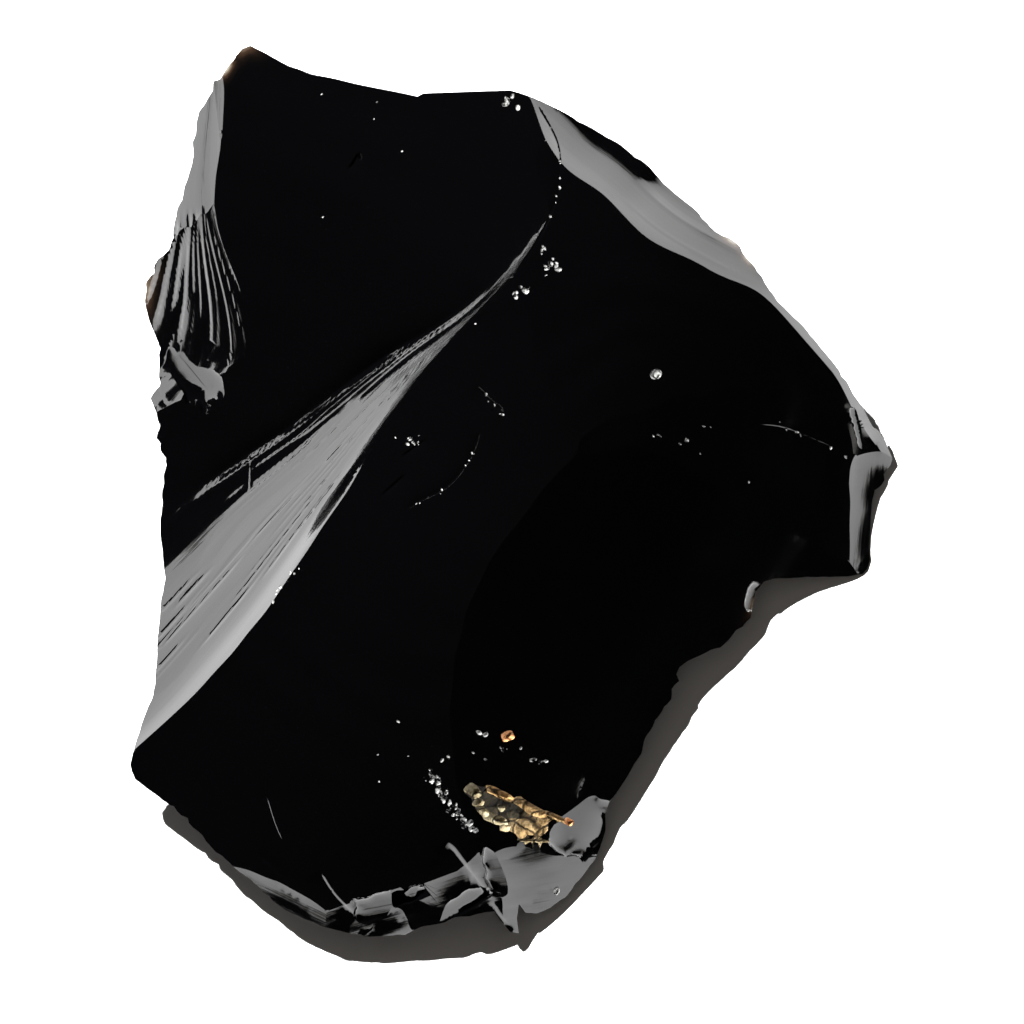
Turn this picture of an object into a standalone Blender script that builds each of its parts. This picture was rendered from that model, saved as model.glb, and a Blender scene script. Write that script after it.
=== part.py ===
"""Obsidian chunk: a palm-sized piece of black volcanic glass, broken out by hard blows.

The stone is made the way it formed. A blank with the stone's outline is struck
once for each fracture face, and each blow takes away all the glass on its far
side, so the creases of the stone are where one face runs into the next. The
faces on top are laid out by hand; the ones underneath follow a rule round the
flat face that the stone rests on.

Design units are millimetres: X across, Y along the longest side, Z up.
"""
import math

import bmesh
import bpy
import numpy as np

MM = 0.001

# Driving dimensions
WIDTH = 76.6
LENGTH = 89.2
BLANK_HEIGHT = 45.0
EDGE_LAND = 0.45        # thickness left at the sharp rim
BASE_CENTRE = (-1.0, -2.0)
LIP_INSET = 0.3         # the underside's first bend, this share of the way in to the base
LIP_HEIGHT = 0.7        # and this share of the rim's height
LIP_SMOOTHING = 4       # rim points averaged on each side, so the rim's notches end there
GRID_FINE = 0.8         # spacing of a cutter's points where a face bends most
GRID_COARSE = 2.2
BEND_REACH = 12.0       # a cutter's points are close this far either side of its line
MARGIN = 6.0            # how far each cutter runs past the stone

# The rim seen from above, clockwise from the top left tip
RIM = [
    (-26.0, 44.6), (-23.6, 43.3), (-21.2, 42.1), (-17.2, 41.1), (-13.2, 40.2), (-9.4, 39.4),
    (-6.2, 39.8), (-0.2, 39.9), (2.3, 39.2), (4.8, 38.1), (8.8, 35.9), (12.8, 33.2),
    (16.3, 30.0), (19.8, 26.7), (23.0, 24.4), (25.4, 20.9), (28.8, 17.1), (32.8, 12.3),
    (35.8, 7.9), (38.3, 3.6), (38.1, 2.8), (37.4, 1.9), (36.5, 0.3), (36.1, -2.7),
    (36.0, -5.5), (35.8, -7.7), (33.8, -8.4), (27.8, -8.6), (25.3, -8.9), (24.5, -9.9),
    (24.0, -12.5), (21.8, -14.9), (19.1, -16.2), (16.8, -17.5), (16.5, -18.5), (16.0, -20.7),
    (14.0, -23.7), (13.0, -26.2), (10.6, -30.0), (9.4, -32.2), (9.4, -33.9), (8.4, -36.9),
    (5.4, -40.7), (2.5, -42.3), (1.2, -42.2), (0.7, -41.3), (0.7, -44.3), (-1.2, -42.9),
    (-2.7, -42.1), (-6.7, -43.1), (-9.7, -44.1), (-10.7, -44.6), (-14.7, -44.6),
    (-19.4, -43.4), (-24.2, -40.8), (-28.0, -37.6), (-30.7, -34.9), (-33.2, -32.3),
    (-36.2, -30.0), (-38.3, -27.2), (-37.2, -23.2), (-35.9, -18.7), (-35.4, -12.7),
    (-35.0, -8.5), (-35.5, -2.7), (-34.7, 2.8), (-35.7, 6.8), (-36.2, 9.5), (-35.4, 12.3),
    (-36.0, 16.3), (-37.0, 20.1), (-35.8, 22.9), (-33.9, 25.5), (-33.8, 27.7),
    (-32.4, 31.6), (-31.8, 33.8), (-31.6, 36.3), (-30.2, 39.5), (-29.6, 41.2), (-28.2, 42.9),
]


class Face:
    """One fracture face: a height over the table, swept along a line and across it.

    start and toward fix the line; distances across it count to its left.
    along gives the height at distances along the line, across what is added
    beside it. bow bends the line sideways, and spread stretches the shape
    across it, keeping its slopes. furrows run beside the line with sharp ridges
    between them: their spacing, their depth, and the first and last distance
    across that they cover, all before the stretch.
    """

    def __init__(self, start, toward, along, across, bow=((0, 0), (1, 0)),
                 spread=((0, 1), (1, 1)), furrows=(1, 0, 0, 1)):
        self.start = np.array(start, float)
        reach = np.array(toward, float) - self.start
        self.forward = reach / np.hypot(*reach)
        self.left = np.array([-self.forward[1], self.forward[0]])
        self.along, self.across, self.bow, self.spread = along, across, bow, spread
        self.furrows = furrows

    def place(self, x, y):
        """Distances along the line and to its left."""
        dx, dy = x - self.start[0], y - self.start[1]
        return (dx * self.forward[0] + dy * self.forward[1],
                dx * self.left[0] + dy * self.left[1])

    def height(self, x, y):
        u, v = self.place(x, y)
        stretch = through(self.spread, u)
        v = v - through(self.bow, u)
        beside = v / stretch
        height = through(self.along, u) + stretch * through(self.across, beside)
        return height - stretch * self.furrow_depth(beside)

    def furrow_depth(self, beside):
        """How deep the furrows are at a distance beside the line."""
        spacing, depth, first, last = self.furrows
        fade = np.clip(np.minimum(beside - first, last - beside) / spacing, 0, 1)
        return depth * fade * np.abs(np.sin(math.pi * beside / spacing))


def through(points, at):
    """A smooth curve through (position, value) points, straight on past its ends."""
    where, value = np.array(points, float).T
    gap = np.diff(where)
    rise = np.diff(value) / gap
    slope = np.concatenate([rise[:1], (rise[1:] + rise[:-1]) / 2, rise[-1:]])
    turning = np.concatenate([[False], rise[1:] * rise[:-1] <= 0, [False]])
    slope[turning] = 0.0
    i = np.clip(np.searchsorted(where, at) - 1, 0, len(gap) - 1)
    t = (at - where[i]) / gap[i]
    s = np.clip(t, 0, 1)
    curve = ((2 * s**3 - 3 * s**2 + 1) * value[i] + (s**3 - 2 * s**2 + s) * slope[i] * gap[i]
             + (3 * s**2 - 2 * s**3) * value[i + 1] + (s**3 - s**2) * slope[i + 1] * gap[i])
    before = np.minimum(t, 0) * gap[i] * slope[i]
    after = np.maximum(t - 1, 0) * gap[i] * slope[i + 1]
    return curve + before + after


TOP_FACES = {
    # The great scar: a trough that runs from the blow at the top of the stone
    # down to the left corner, steep under its lower right crease, flat beyond.
    "great_scar": Face(
        (-38.2, -27.0), (1.8, 23.5),
        along=[(0, 9), (13, 15.4), (26, 20.4), (38, 22.6), (48, 24.6), (58, 26.4), (64, 27),
               (72, 27.3), (78, 26.4)],
        across=[(-20, 28), (0, 0), (1.5, -2.9), (4, -6.4), (9.5, -13.1), (10.5, -13.8),
                (13, -14.9), (24, -17.4), (40, -20)],
        bow=[(0, 0), (8, -1), (19, -1.3), (34, -0.1), (46, 0.7), (58, 0.1), (64, 0), (70, 0)],
        spread=[(0, 1.2), (14, 1.15), (24, 1.0), (36, 0.62), (48, 0.32), (60, 0.1), (80, 0.1)],
        furrows=(2.4, 0.35, -0.5, 13)),
    # The high face right of the scar, and the roll along its upper right rim
    "crown": Face(
        (2, 15), (40, 3),
        along=[(-20, 27.6), (-8, 26.8), (0, 26), (10, 23.4), (20, 17.2), (30, 8.7), (38, 1.6),
               (44, -3.6)],
        across=[(-45, 20), (-30, 8), (-20, 2.4), (-12, 0.4), (0, 0), (8, 0), (12, -0.6),
                (17, -1.6), (30, -3)]),
    "shoulder": Face(
        (2.3, 39.2), (38.3, 3.5),
        along=[(-5, 28.2), (0, 27.6), (7, 25.9), (12, 25.3), (17, 24), (22, 22), (27, 18.9),
               (35, 13.2), (40, 9.2), (46, 3.9), (54, -1)],
        across=[(-30, 33), (-3, 0), (-1, -2.7), (1.3, -5.2), (1.8, -5.55), (3.5, -6.4),
                (6, -7.6)],
        bow=[(0, -0.4), (6, -0.2), (11, 0.5), (18, 1.0), (24, 2.6), (30, 4.6), (40, 4.8),
             (50, 3.4)]),
    # The three broad faces below the crown
    "dome": Face(
        (2, 8), (-22, -35),
        along=[(-40, 49), (-20, 31), (0, 24.8), (20, 22.8), (35, 17.6), (50, 9.3)],
        across=[(-50, 10), (-30, -1.8), (-18, -1.6), (0, 0), (10, -1.2), (20, -4.2), (40, -15)]),
    "fall": Face(
        (20, -15), (8, -34),
        along=[(-40, 28), (-20, 10.2), (-8, 5.6), (0, 4.2), (20, 3.4), (35, 4.6)],
        across=[(-34, 31), (-24, 20.8), (-10, 8.8), (0, 0), (4, -3.4), (10, -7.4)]),
    "flank": Face(
        (13.3, 5.5), (34.5, 3.3),
        along=[(-20, 39), (-8, 25.8), (0, 20.9), (7, 15.9), (13, 11.1), (20, 5.3), (24, 3.8),
               (28, 3.5)],
        across=[(-45, 6), (-25, -4.4), (-14, -3.2), (-8, -2.5), (0, 0), (3, 1.3), (8, 4.1),
                (14, 9)]),
    # The steep strips and flakes round the rim. The left strip is steepest at
    # its top, and furrowed below.
    "left_edge": Face(
        (-25, 14.8), (-29.6, 41.1),
        along=[(-8, 12.5), (0, 14.5), (14, 16.2), (27, 18.7)],
        across=[(-10, 11), (0, 0), (2, -1.8), (4, -3.5), (8, -6.9)],
        bow=[(-10, 8), (-5, 3.8), (0, 0), (14.6, 2.3), (27, 0)],
        spread=[(-5, 1.1), (0, 1), (10, 0.75), (22, 0.3), (28, 0.2)],
        furrows=(2.2, 0.4, -0.5, 14)),
    "left_top": Face(
        (-25, 14.8), (-29.6, 41.1),
        along=[(-8, 60), (8, 24), (11, 20.2), (13, 16.9), (14.5, 16.3), (27, 18.7)],
        across=[(-10, 14), (0, 0), (3, -3.3), (7, -8.4), (12, -16)],
        bow=[(-10, 8), (-5, 3.8), (0, 0), (14.6, 2.3), (27, 0)],
        spread=[(-5, 1.1), (0, 1), (10, 0.75), (22, 0.3), (28, 0.2)]),
    "right_edge": Face(
        (34.5, 3.3), (33.6, -6.7),
        along=[(-12, 14), (-4, 5.8), (0, 3.8), (10, 3)],
        across=[(-5, 6), (0, 0), (1.5, -1.65), (4, -3.4)]),
    "low_left": Face(
        (-29, -36.5), (-17.9, -41.9),
        along=[(0, 7.2), (12, 7.2), (20, 12)],
        across=[(-8, -8.1), (-4, -4.05), (0, 0), (5, 6)]),
    "low_middle": Face(
        (-17, -42), (-11.3, -40.5),
        along=[(0, 7), (6, 8.1), (14, 13)],
        across=[(-8, -8), (-4, -4), (0, 0), (5, 6)]),
    "low_right": Face(
        (-11, -40.2), (-5, -38.4),
        along=[(0, 8.2), (6, 9.6), (12, 9.4)],
        across=[(-8, -6.6), (-4, -3.7), (0, 0), (5, 6)]),
    "lobe": Face(
        (-1, -34.3), (9.4, -32.3),
        along=[(-4, 14.7), (0, 11.4), (5, 8.4), (10, 6)],
        across=[(-8, -7), (-4, -3.5), (0, 0), (3, 3.4)]),
}

# Underneath, one side of the flat base at each bearing: degrees from +X, distance
# from the base's centre, and how hollow the scar above that side is
UNDER_SIDES = [
    (5, 28, 0.12), (42, 17, 0.3), (72, 16, 0.28), (100, 18.5, 0.2), (138, 22, 0.2),
    (178, 18.5, 0.2), (206, 17.5, 0.2), (240, 26, 0.14), (278, 30, 0.1), (322, 16, 0.1),
]
UNDER_SIDE_FALL = 0.018     # how fast a scar's sides come down, per mm squared
UNDER_REACH = 30.0          # half the width over which a scar's sides are curved
UNDER_START = (8.0, -9.0)   # a scar's sweep starts this far inside the base, at this height
UNDER_FOOT = 0.5            # and comes up through the table this far inside the base's edge
UNDER_CLEARANCE = 0.8       # an under scar stays this far below the rim
NEARLY_ALONG = 0.01         # least cosine at which a bearing still meets a side
RIM_LOWEST = 0.6            # the sharp rim keeps at least this height over the table
GLASS_COLOUR = (0.004, 0.004, 0.005, 1.0)
GLASS_ROUGHNESS = 0.05


def top_height(x, y):
    """Height of the struck stone: the lowest face at each place."""
    return np.min([face.height(x, y) for face in TOP_FACES.values()], axis=0)


def rim_points():
    """The sharp rim, at the height where the top faces reach it."""
    x, y = np.array(RIM, float).T
    z = np.maximum(top_height(x, y) - EDGE_LAND, RIM_LOWEST)
    return x, y, z


def base_points(x, y):
    """For each place, the point on the edge of the flat base at the same bearing."""
    bearing = np.arctan2(y - BASE_CENTRE[1], x - BASE_CENTRE[0])
    reach = np.full(bearing.shape, np.inf)
    for side, distance, _ in UNDER_SIDES:
        facing = np.cos(bearing - math.radians(side))
        reach = np.minimum(reach, distance / np.maximum(facing, NEARLY_ALONG))
    return BASE_CENTRE[0] + reach * np.cos(bearing), BASE_CENTRE[1] + reach * np.sin(bearing)


def smooth_ring(values):
    """Each value of a closed ring averaged with its neighbours."""
    steps = range(-LIP_SMOOTHING, LIP_SMOOTHING + 1)
    return np.mean([np.roll(values, step) for step in steps], axis=0)


def new_object(name, points, faces):
    """A mesh object from points in millimetres."""
    mesh = bpy.data.meshes.new(name)
    mesh.from_pydata((np.array(points) * MM).tolist(), [], faces)
    mesh.validate()
    piece = bpy.data.objects.new(name, mesh)
    bpy.context.collection.objects.link(piece)
    return piece


def make_blank():
    """The unstruck stone: upright walls over the rim, and an undercut down to the base."""
    x, y, z = rim_points()
    base_x, base_y = base_points(x, y)
    lip_x = smooth_ring(x + (base_x - x) * LIP_INSET)
    lip_y = smooth_ring(y + (base_y - y) * LIP_INSET)
    foot_x, foot_y = base_points(lip_x, lip_y)
    rings = [(x, y, np.full_like(x, BLANK_HEIGHT)), (x, y, z),
             (lip_x, lip_y, smooth_ring(z) * LIP_HEIGHT), (foot_x, foot_y, np.zeros_like(x))]
    count = len(x)
    faces = [list(range(count)), list(range(3 * count, 4 * count))]
    for ring in range(len(rings) - 1):
        for i in range(count):
            here, beside = ring * count + i, ring * count + (i + 1) % count
            faces.append([here, beside, beside + count])
            faces.append([here, beside + count, here + count])
    points = np.vstack([np.column_stack(ring) for ring in rings])
    return new_object("obsidian_chunk", points, faces)


def grid_lines(low, high, bend_low, bend_high):
    """Positions from low to high, closer together between bend_low and bend_high."""
    lines = [low]
    while lines[-1] < high:
        bends = bend_low < lines[-1] < bend_high
        lines.append(lines[-1] + (GRID_FINE if bends else GRID_COARSE))
    return np.array(lines)


def make_cutter(name, face, side):
    """A block bounded by the face: all of it above the face for side 1, below for -1."""
    corner_x = np.array([-1, -1, 1, 1]) * (WIDTH / 2 + MARGIN)
    corner_y = np.array([-1, 1, -1, 1]) * (LENGTH / 2 + MARGIN)
    u, v = face.place(corner_x, corner_y)
    u_lines = grid_lines(u.min(), u.max(), 0, 0)
    v_lines = grid_lines(v.min(), v.max(), -BEND_REACH, BEND_REACH)
    u, v = np.meshgrid(u_lines, v_lines, indexing="ij")
    x = face.start[0] + u * face.forward[0] + v * face.left[0]
    y = face.start[1] + u * face.forward[1] + v * face.left[1]
    limit = BLANK_HEIGHT + MARGIN if side > 0 else -MARGIN
    z = face.height(x, y)
    z = np.minimum(z, limit - MARGIN / 2) if side > 0 else np.maximum(z, limit + MARGIN / 2)
    rows, columns = x.shape
    points = np.column_stack([x.ravel(), y.ravel(), z.ravel()])
    faces = []
    for i in range(rows - 1):
        for j in range(columns - 1):
            a, b, c, d = (i * columns + j, (i + 1) * columns + j,
                          (i + 1) * columns + j + 1, i * columns + j + 1)
            faces += [[a, b, c], [a, c, d]] if (i + j) % 2 else [[a, b, d], [b, c, d]]
    border = ([j for j in range(columns)] + [i * columns + columns - 1 for i in range(1, rows)]
              + [(rows - 1) * columns + j for j in range(columns - 2, -1, -1)]
              + [i * columns for i in range(rows - 2, 0, -1)])
    first = len(points)
    lid = points[border].copy()
    lid[:, 2] = limit
    points = np.vstack([points, lid])
    for k, here in enumerate(border):
        beside = border[(k + 1) % len(border)]
        above, above_beside = first + k, first + (k + 1) % len(border)
        faces.append([here, beside, above_beside])
        faces.append([here, above_beside, above])
    faces.append([first + k for k in range(len(border))])
    cutter = new_object(name, points, faces)
    face_out(cutter.data)
    cutter.display_type = "WIRE"
    cutter.hide_render = True
    return cutter


def face_out(mesh):
    """Turn every face of a closed mesh outward."""
    shape = bmesh.new()
    shape.from_mesh(mesh)
    bmesh.ops.recalc_face_normals(shape, faces=shape.faces)
    shape.to_mesh(mesh)
    shape.free()


def under_face(bearing, hollow):
    """A hollow scar that climbs from the base to just under the rim."""
    angle = math.radians(bearing)
    outward = np.array([math.cos(angle), math.sin(angle)])
    x, y, z = rim_points()
    turn = np.arctan2(y, x) - angle
    nearest = np.argmin(np.abs(np.arctan2(np.sin(turn), np.cos(turn))))
    rim_reach = math.hypot(x[nearest], y[nearest])
    foot_reach = math.hypot(*base_points(x[nearest], y[nearest]))
    middle = (rim_reach + foot_reach) / 2
    top = z[nearest]
    along = [(foot_reach - UNDER_START[0], UNDER_START[1]), (foot_reach - UNDER_FOOT, 0),
             (middle, top * (0.5 + hollow)), (rim_reach, top)]
    across = [(v, -UNDER_SIDE_FALL * v * v) for v in np.linspace(-UNDER_REACH, UNDER_REACH, 5)]
    face = Face((0, 0), outward, along, across)
    too_high = np.max(face.height(x, y) - z) + UNDER_CLEARANCE
    face.along = [(u, height - max(too_high, 0)) for u, height in along]
    return face


def glass_material():
    """Black volcanic glass."""
    material = bpy.data.materials.new("obsidian")
    material.use_nodes = True
    shader = material.node_tree.nodes["Principled BSDF"]
    shader.inputs["Base Color"].default_value = GLASS_COLOUR
    shader.inputs["Roughness"].default_value = GLASS_ROUGHNESS
    shader.inputs["Metallic"].default_value = 0.0
    return material


def strike(stone, cutter):
    """Take the cutter's glass off the stone."""
    blow = stone.modifiers.new(cutter.name, "BOOLEAN")
    blow.operation = "DIFFERENCE"
    blow.solver = "EXACT"
    blow.object = cutter


def build():
    for old in list(bpy.data.objects):
        bpy.data.objects.remove(old, do_unlink=True)
    stone = make_blank()
    face_out(stone.data)
    stone.data.materials.append(glass_material())
    for name, face in TOP_FACES.items():
        strike(stone, make_cutter("blow_" + name, face, 1))
    for bearing, _, hollow in UNDER_SIDES:
        strike(stone, make_cutter(f"under_blow_{bearing}", under_face(bearing, hollow), -1))


build()
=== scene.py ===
"""Looks of the obsidian chunk: the dressed stone, its glass and crust, the floor, light and camera.

The stone is worked out as two height fields in millimetres, the struck faces on top and
the scars underneath, which meet in the sharp rim. Each height field is the lowest (or
highest) of many faces. The mesh is split where one face runs into the next, so the
creases stay sharp, and each face keeps its own smooth shading.
"""
import math
from collections import namedtuple

import bpy
import numpy as np
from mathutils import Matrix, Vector
from mathutils.geometry import delaunay_2d_cdt


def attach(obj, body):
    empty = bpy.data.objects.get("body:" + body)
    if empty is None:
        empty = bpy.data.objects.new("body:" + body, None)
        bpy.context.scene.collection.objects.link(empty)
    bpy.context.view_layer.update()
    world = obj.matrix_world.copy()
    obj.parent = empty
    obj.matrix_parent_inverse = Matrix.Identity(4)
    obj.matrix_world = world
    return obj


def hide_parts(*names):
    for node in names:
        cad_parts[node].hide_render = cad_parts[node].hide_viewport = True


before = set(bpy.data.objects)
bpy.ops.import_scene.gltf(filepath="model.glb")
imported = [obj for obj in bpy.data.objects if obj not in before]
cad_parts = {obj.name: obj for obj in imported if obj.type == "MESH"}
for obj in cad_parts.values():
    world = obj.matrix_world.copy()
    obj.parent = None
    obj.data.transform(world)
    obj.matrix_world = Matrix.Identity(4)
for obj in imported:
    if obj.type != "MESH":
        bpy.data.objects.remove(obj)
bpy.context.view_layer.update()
MM = 0.001

# The rim seen from above, clockwise from the top left tip
RIM = [
    (-26, 44.6), (-25, 44.1), (-23.6, 43.3), (-22.2, 42.5), (-20, 41.7), (-17.2, 41.1),
    (-15.2, 40.6), (-13.2, 40.2), (-11.2, 39.8), (-9.4, 39.4), (-8.8, 39.7), (-6.2, 39.8),
    (-3.2, 39.9), (-0.2, 40), (0.8, 39.7), (2.3, 39.2), (3.3, 38.8), (4.8, 38.1), (6.8, 36.9),
    (8.8, 35.9), (10.8, 34.7), (12.8, 33.2), (13.8, 32.4), (14.8, 31.4), (16.3, 30), (17.8, 28.8),
    (18.8, 27.9), (19.8, 26.7), (21.3, 25.7), (22.3, 25), (23, 24.4), (23.8, 23.5), (24.5, 22.6),
    (25, 21.8), (25.4, 20.9), (25.8, 20.2), (26.8, 19.1), (28.8, 17.1), (30.8, 14.8), (32.8, 12.3),
    (34.8, 9.5), (35.8, 7.9), (36.8, 6.4), (37.6, 5.2), (38.1, 4.3), (38.3, 3.5), (38.1, 2.8),
    (37.4, 1.9), (37.5, 1.3), (37.3, 0.8), (36.5, 0.3), (36.3, -0.7), (36.1, -2.7), (36, -5.5),
    (36.1, -6.7), (35.8, -7.7), (35.3, -8.2), (33.8, -8.4), (31.8, -8.5), (29.8, -8.5),
    (27.8, -8.6), (26.3, -8.6), (25.3, -8.9), (24.5, -9.9), (24.2, -11.2), (24, -12.5),
    (23.3, -13.5), (22.6, -13.9), (21.8, -14.9), (21, -15.6), (20, -15.8), (19.1, -16.2),
    (17.8, -16.9), (16.8, -17.5), (16.5, -18.2), (16.9, -18.9), (16.1, -19.7), (16, -20.7),
    (14.8, -22.3), (14, -23.7), (13.3, -24.9), (13, -26.2), (12.3, -27.2), (11.6, -28.5),
    (10.6, -30), (9.8, -31), (9.4, -32.2), (9.4, -33.9), (8.9, -35.7), (8.4, -36.9), (7.6, -37.9),
    (6.3, -39.5), (5.4, -40.7), (4, -41.7), (2.5, -42.3), (1.3, -42.2), (0.7, -41.3), (0.5, -42.7),
    (0.7, -44.3), (-0.2, -44.1), (-1.2, -42.9), (-1.8, -42), (-2.7, -42.1), (-4.2, -42.5),
    (-5.7, -42.7), (-6.7, -43.1), (-8.2, -43.4), (-9.7, -44.1), (-10.7, -44.6), (-14.7, -44.6),
    (-16.2, -44.4), (-17.7, -44), (-19.4, -43.4), (-21.2, -42.7), (-22.7, -41.9), (-24.2, -40.8),
    (-25.7, -39.4), (-26.9, -38.5), (-28, -37.6), (-29.2, -36.6), (-30.7, -34.9), (-32.4, -33.1),
    (-32.5, -32.6), (-33.2, -32.3), (-34, -31.5), (-35.2, -30.7), (-36.2, -30), (-36.9, -29.4),
    (-37.8, -28.7), (-38.1, -28), (-38.3, -27.2), (-38.1, -26.2), (-37.7, -24.7), (-37.2, -23.2),
    (-36.7, -21.7), (-36.1, -20.2), (-35.9, -18.7), (-35.7, -16.7), (-35.6, -14.7), (-35.4, -12.7),
    (-35.2, -9.7), (-35, -8.5), (-35.2, -6.7), (-35.3, -4.7), (-35.5, -2.7), (-35.1, -1),
    (-35.3, 0.3), (-35.1, 1.5), (-34.7, 2.8), (-35.2, 4.1), (-35.7, 5.5), (-35.5, 6.8),
    (-35.7, 8.1), (-36.3, 9.5), (-36, 10.1), (-35.5, 10.8), (-35.4, 13.3), (-35.5, 15.1),
    (-36, 16.3), (-36.5, 17.5), (-36.9, 18.3), (-37.1, 19.3), (-37, 20.1), (-36.7, 21.2),
    (-36.2, 21.8), (-35.8, 22.9), (-35.2, 23.9), (-34.4, 24.7), (-33.9, 25.5), (-34, 26.3),
    (-33.8, 27.7), (-33.4, 28.6), (-33, 29.3), (-32.8, 30.6), (-32.4, 31.6), (-32, 32.8),
    (-31.8, 33.8), (-31.9, 35), (-31.6, 35.8), (-31.5, 37.1), (-31.3, 38.1), (-30.8, 38.7),
    (-30.2, 39.5), (-29.8, 40.1), (-29.8, 41.1), (-29.2, 41.4), (-28.8, 42.1), (-28.2, 42.9),
    (-27.6, 43.6), (-26.9, 44.3),
]
RIM_STEP = 0.32         # spacing of the rim's points, mm
RIM_NICKS = 0.22        # deepest small nick in the rim, mm
RIM_THICKNESS = 0.12    # what is left at the sharp rim
RIM_LOWEST = 0.3        # the top stays at least this high over the table
RIM_WEDGE = 1.25        # how fast the stone thickens in from the rim
UNDER_CLEARANCE = 0.8   # an under scar stays this far below the rim
BASE_CENTRE = (-1.0, -2.0)
# The sides of the flat base: bearing in degrees, distance and how hollow the scar beyond is
UNDER_SIDES = [
    (5, 28, 0.12), (42, 17, 0.3), (72, 16, 0.28), (100, 18.5, 0.2), (138, 22, 0.2),
    (178, 18.5, 0.2), (206, 17.5, 0.2), (240, 26, 0.14), (278, 30, 0.1), (322, 16, 0.1),
]
UNDER_SIDE_FALL = 0.018  # how fast a scar bends down to its sides
LIP_INSET = 0.3         # at this share of the way in from the rim to the base, the undercut
LIP_HEIGHT = 0.7        # stands at this share of the rim's height
TOP_STEP = 0.5          # spacing of the mesh on the smooth faces, mm
UNDER_STEP = 0.9
LEAST_STRETCH = 0.25    # mesh points across a flow get no closer where it narrows past this
LEDGE_STEP = 0.3        # spacing of the mesh along a ledge, mm
BOWL_STEP = 0.3         # and in a bowl
SMALL_BOWL = 1.2        # a bowl smaller than this has a closer mesh
SMALL_BOWL_STEP = 0.16
BOWL_WALL = 1.2         # how steeply a bowl's wall goes on past its edge
BOWL_REACH = 1.8        # a bowl ends at this many times its size
LEDGE_CLEAR = 0.12      # other mesh points keep this far from a ledge's own
RIM_CLEAR = 0.14        # and from the rim
UNDER_CLEAR = 0.35      # and from the rim on the underside
HALF_WIDTH = 39         # half the size of the grid of mesh points, mm
HALF_LENGTH = 45
LEDGE_REACH = 1.5       # a ledge changes nothing farther away than this, mm
NOISE_SIZE = 64         # the noise repeats after this many cells
SPLIT_HALVINGS = 7      # how closely the crease between two faces is found
SPLIT_MARGIN = 0.02     # a crease keeps this share of an edge away from the edge's ends
FLOW_SCALE = 100        # mm of flow for each unit of the texture coordinates
GRADIENT_STEP = 0.01    # mm, for reading a face's slope
PART_SIZE = 2000        # points handled at a time


def noise(a, b, seed):
    """Smooth noise between 0 and 1 over two coordinates, a random value at each whole number."""
    table = np.random.default_rng(seed).random((NOISE_SIZE, NOISE_SIZE))
    i, j = np.floor(a).astype(int), np.floor(b).astype(int)
    s, t = a - i, b - j
    s, t = s * s * (3 - 2 * s), t * t * (3 - 2 * t)

    def at(di, dj):
        return table[(i + di) % NOISE_SIZE, (j + dj) % NOISE_SIZE]

    return (at(0, 0) * (1 - s) + at(1, 0) * s) * (1 - t) + (at(0, 1) * (1 - s) + at(1, 1) * s) * t


def fade(value, start, full):
    """0 at start, 1 at full, smooth between."""
    t = np.clip((value - start) / (full - start), 0, 1)
    return t * t * (3 - 2 * t)


def through(points, at):
    """A smooth curve through (position, value) points, straight on past its ends."""
    where, value = np.array(points, float).T
    gap = np.diff(where)
    rise = np.diff(value) / gap
    slope = np.concatenate([rise[:1], (rise[1:] + rise[:-1]) / 2, rise[-1:]])
    turning = np.concatenate([[False], rise[1:] * rise[:-1] <= 0, [False]])
    slope[turning] = 0.0
    i = np.clip(np.searchsorted(where, at) - 1, 0, len(gap) - 1)
    t = (at - where[i]) / gap[i]
    s = np.clip(t, 0, 1)
    curve = ((2 * s**3 - 3 * s**2 + 1) * value[i] + (s**3 - 2 * s**2 + s) * slope[i] * gap[i]
             + (3 * s**2 - 2 * s**3) * value[i + 1] + (s**3 - s**2) * slope[i + 1] * gap[i])
    before = np.minimum(t, 0) * gap[i] * slope[i]
    after = np.maximum(t - 1, 0) * gap[i] * slope[i + 1]
    return curve + before + after


class Face:
    """One fracture face: a height over the table, swept along a line and across it.

    along and across give the height in both directions, bow bends the line and
    spread stretches the shape across it. relief is a function of the distances
    along and across that gives the fine relief to take off the face.
    """

    def __init__(self, start, toward, along, across, bow=((0, 0), (1, 0)),
                 spread=((0, 1), (1, 1)), relief=None):
        self.start = np.array(start, float)
        reach = np.array(toward, float) - self.start
        self.forward = reach / np.hypot(*reach)
        self.left = np.array([-self.forward[1], self.forward[0]])
        self.along, self.across, self.bow, self.spread = along, across, bow, spread
        self.relief = relief

    def flow(self, x, y):
        """Distances along the line and beside it, after the bow and the spread."""
        dx, dy = x - self.start[0], y - self.start[1]
        u = dx * self.forward[0] + dy * self.forward[1]
        v = dx * self.left[0] + dy * self.left[1]
        return u, (v - through(self.bow, u)) / through(self.spread, u)

    def ground(self, u, beside):
        """The place of a point of the flow."""
        v = beside * through(self.spread, u) + through(self.bow, u)
        return (self.start[0] + u * self.forward[0] + v * self.left[0],
                self.start[1] + u * self.forward[1] + v * self.left[1])

    def height(self, x, y):
        u, beside = self.flow(x, y)
        stretch = through(self.spread, u)
        height = through(self.along, u) + stretch * through(self.across, beside)
        if self.relief:
            height = height - self.relief(u, beside, stretch)
        return height


def streaks(u, beside, long, short, seed):
    """Ridged noise, drawn out along the flow, that wanders a little across it."""
    wander = 0.8 * noise(u / 9, beside / 3, seed + 1)
    n = noise(u / long, beside / short + wander, seed)
    return 1 - np.abs(2 * n - 1)


def lines(u, beside, rows):
    """Thin grooves along the flow: each row is where it lies, its ends, width and depth."""
    total = 0.0
    for place, first, last, width, depth in rows:
        ends = fade(u, first, first + 3) * fade(-u, -last, -last + 3)
        total = total + depth * ends * np.exp(-((beside - place) / width) ** 2)
    return total


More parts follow.
